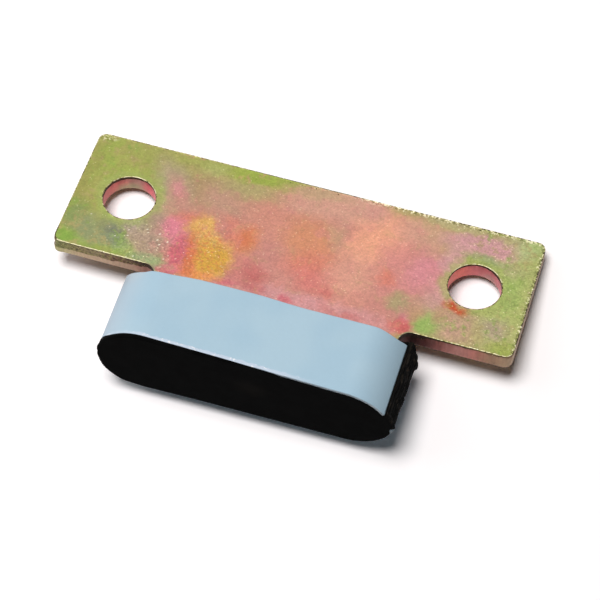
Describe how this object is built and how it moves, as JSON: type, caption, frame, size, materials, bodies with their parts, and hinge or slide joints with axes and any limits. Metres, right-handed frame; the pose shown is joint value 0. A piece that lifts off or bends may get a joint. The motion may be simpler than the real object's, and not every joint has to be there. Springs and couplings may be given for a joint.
{
  "type": "elevator door slider",
  "caption": "Door slider: punched steel bolt plate with a tongue moulded into a round-ended rubber block, faced with thin low-friction liners that run in a sill groove.",
  "frame": {"origin": "midway between the two bolt holes, on the plate's back face", "axes": "+X along the plate, +Y from the block towards the plate, +Z out of the plate's front face"},
  "size_m": [0.08, 0.0423, 0.0144],
  "materials": {
    "passivated_steel": "matte zinc plating with an iridescent yellow, green and rose passivation",
    "black_rubber": "smooth moulded face, torn and ribbed at the ends",
    "blue_liner": "satin pale blue low-friction strip"
  },
  "bodies": {
    "root": {"mounting_plate": "passivated_steel", "rubber_block": "black_rubber", "front_liner": "blue_liner", "rear_liner": "blue_liner"}
  },
  "joints": []
}
